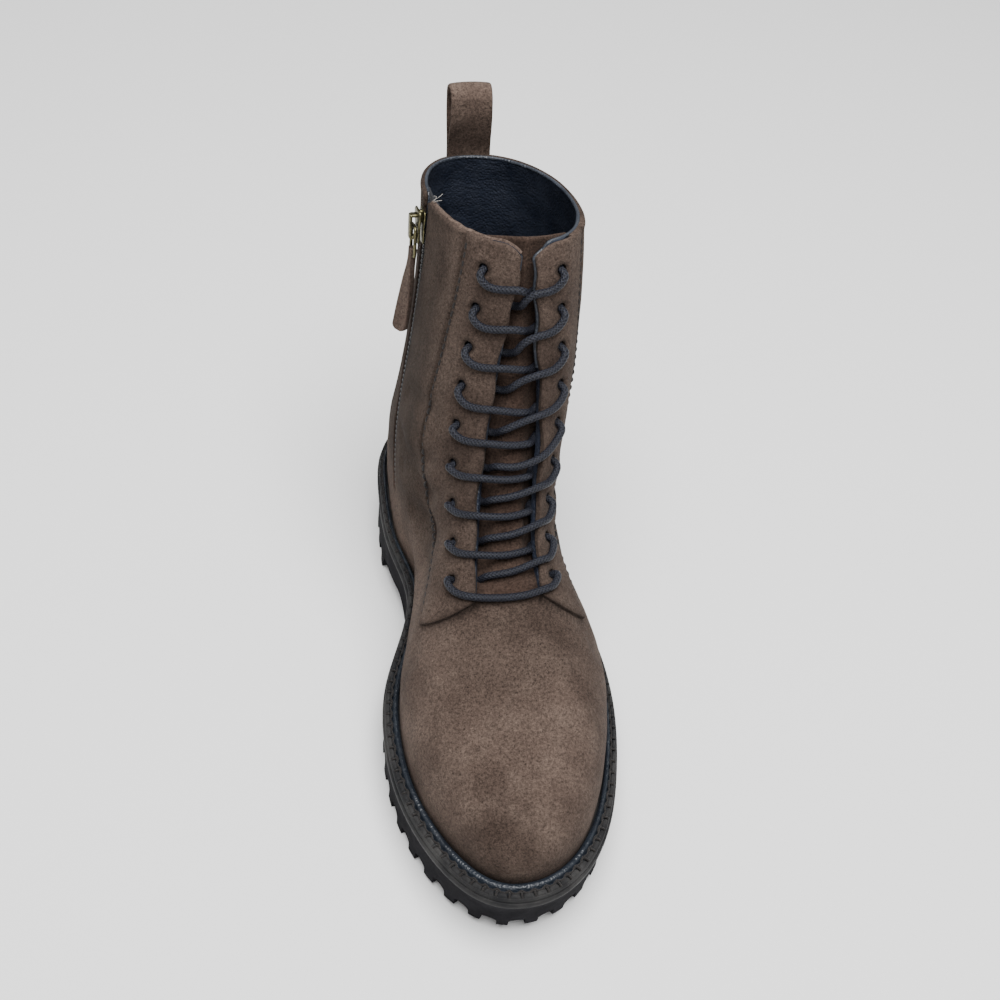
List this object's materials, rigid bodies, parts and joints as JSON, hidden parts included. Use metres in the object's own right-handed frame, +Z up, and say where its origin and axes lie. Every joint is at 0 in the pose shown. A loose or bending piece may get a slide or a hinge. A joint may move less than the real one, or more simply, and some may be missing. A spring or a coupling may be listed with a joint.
{
  "type": "lace-up ankle boot",
  "caption": "Suede lace-up ankle boot with a lugged rubber sole, a stitched welt, a side zip, a soft tongue and a pull loop at the back of the collar.",
  "frame": {"origin": "floor, under the middle of the whole boot's bounding box", "axes": "-Y towards the toe, +X towards the little toe, +Z up"},
  "size_m": [0.1072, 0.2896, 0.2341],
  "materials": {
    "sole_rubber": "smooth charcoal rubber wall over moulded lugs",
    "welt": "blue-black, satin, stitched",
    "suede": "brown suede with a short mottled nap",
    "tongue_suede": "darker reddish brown suede",
    "lining": "near-black navy lining leather",
    "lace_cord": "round waxed cord, charcoal navy",
    "zip_tape": "black woven tape",
    "zip_chain": "black moulded teeth",
    "aged_brass": "aged brass, dark olive in its recesses"
  },
  "bodies": {
    "boot": {"outsole": "sole_rubber", "welt": "welt", "insole": "lining", "upper": "suede", "facing_medial": "suede", "facing_lateral": "suede", "tongue": "tongue_suede", "pull_loop": "suede", "zip_tape": "zip_tape", "zip_chain": "zip_chain", "zip_slider": "aged_brass", "lace_1": "lace_cord", "lace_2": "lace_cord", "lace_3": "lace_cord", "lace_4": "lace_cord", "lace_5": "lace_cord", "lace_6": "lace_cord", "lace_7": "lace_cord", "lace_8": "lace_cord", "lace_bar": "lace_cord"},
    "zip_pull": {"zip_pull": "suede"}
  },
  "joints": [
    {"name": "pull_swing", "type": "hinge", "parent": "boot", "child": "zip_pull", "pos_m": [-0.03109, 0.09238, 0.1944], "axis": [-0.136, 0.9659, -0.2204], "range_deg": [0, 150]}
  ]
}
